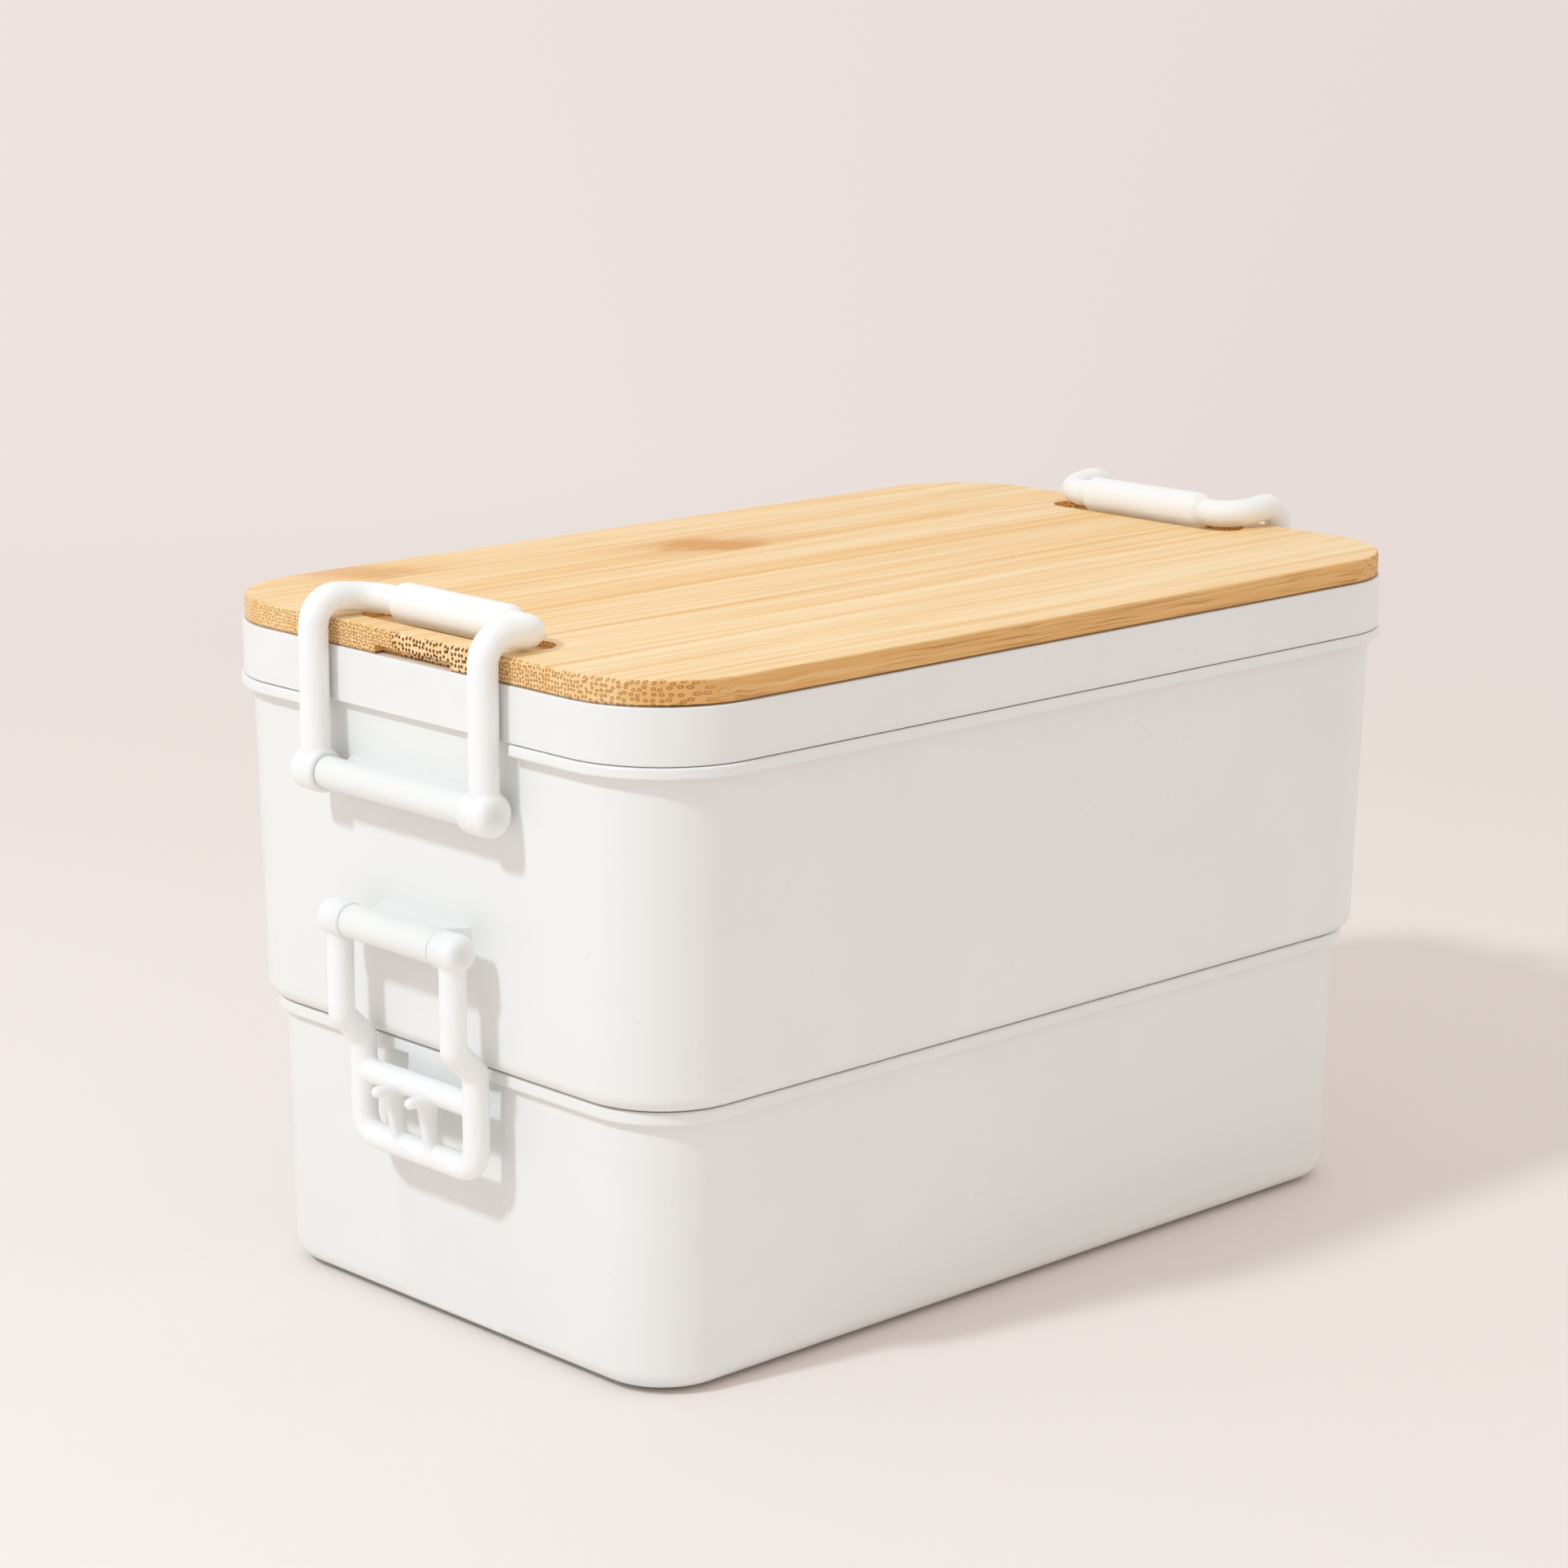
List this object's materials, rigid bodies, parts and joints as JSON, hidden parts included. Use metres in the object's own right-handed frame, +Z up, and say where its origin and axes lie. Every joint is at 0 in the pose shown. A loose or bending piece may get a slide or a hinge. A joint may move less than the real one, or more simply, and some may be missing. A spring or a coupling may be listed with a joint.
{
  "type": "lunch box",
  "caption": "Stacked lunch box: tapered white trays, a skirted lid under a bamboo board, and bail clips at both ends that hold the lid and the tiers together.",
  "frame": {"origin": "on the table, under the middle of the box", "axes": "+X along the box's length from the front end to the rear end, +Z up"},
  "size_m": [0.1944, 0.1126, 0.1196],
  "materials": {
    "white_plastic": "satin gloss",
    "bamboo": "oiled",
    "silicone": "matte",
    "steel": "drawn"
  },
  "bodies": {
    "lower_tray": {"lower_tray": "white_plastic"},
    "upper_tray": {"upper_tray": "white_plastic", "tray_seal": "silicone"},
    "lid": {"inner_lid": "white_plastic", "lid_seal": "silicone"},
    "board": {"bamboo_board": "bamboo"},
    "upper_clip_front": {"upper_clip_front": "white_plastic", "upper_pin_front": "steel"},
    "upper_clip_rear": {"upper_clip_rear": "white_plastic", "upper_pin_rear": "steel"},
    "lower_clip_front": {"lower_clip_front": "white_plastic", "lower_pin_front": "steel"},
    "lower_clip_rear": {"lower_clip_rear": "white_plastic", "lower_pin_rear": "steel"}
  },
  "joints": [
    {"name": "tray_lift", "type": "slide", "parent": "lower_tray", "child": "upper_tray", "axis": [0, 0, 1], "range_m": [0, 0.027]},
    {"name": "lid_lift", "type": "slide", "parent": "upper_tray", "child": "lid", "axis": [0, 0, 1], "range_m": [0, 0.005]},
    {"name": "board_lift", "type": "slide", "parent": "lid", "child": "board", "axis": [0, 0, 1], "range_m": [0, 0.0025]},
    {"name": "upper_clip_front_swing", "type": "hinge", "parent": "upper_tray", "child": "upper_clip_front", "pos_m": [-0.0931, 0, 0.0901], "axis": [0, -1, 0], "range_deg": [0, 150]},
    {"name": "upper_clip_rear_swing", "type": "hinge", "parent": "upper_tray", "child": "upper_clip_rear", "pos_m": [0.0931, 0, 0.0901], "axis": [0, 1, 0], "range_deg": [0, 150]},
    {"name": "lower_clip_front_swing", "type": "hinge", "parent": "upper_tray", "child": "lower_clip_front", "pos_m": [-0.0942, 0, 0.0673], "axis": [0, 1, 0], "range_deg": [0, 90]},
    {"name": "lower_clip_rear_swing", "type": "hinge", "parent": "upper_tray", "child": "lower_clip_rear", "pos_m": [0.0942, 0, 0.0673], "axis": [0, -1, 0], "range_deg": [0, 90]}
  ],
  "couplings": [
    {"joint": "board_lift", "follows": "lid_lift", "ratio": 0.5},
    {"joint": "upper_clip_front_swing", "follows": "lid_lift", "rad_per_m": 523.6},
    {"joint": "upper_clip_rear_swing", "follows": "lid_lift", "rad_per_m": 523.6},
    {"joint": "lower_clip_front_swing", "follows": "tray_lift", "rad_per_m": 58.177},
    {"joint": "lower_clip_rear_swing", "follows": "tray_lift", "rad_per_m": 58.177}
  ]
}
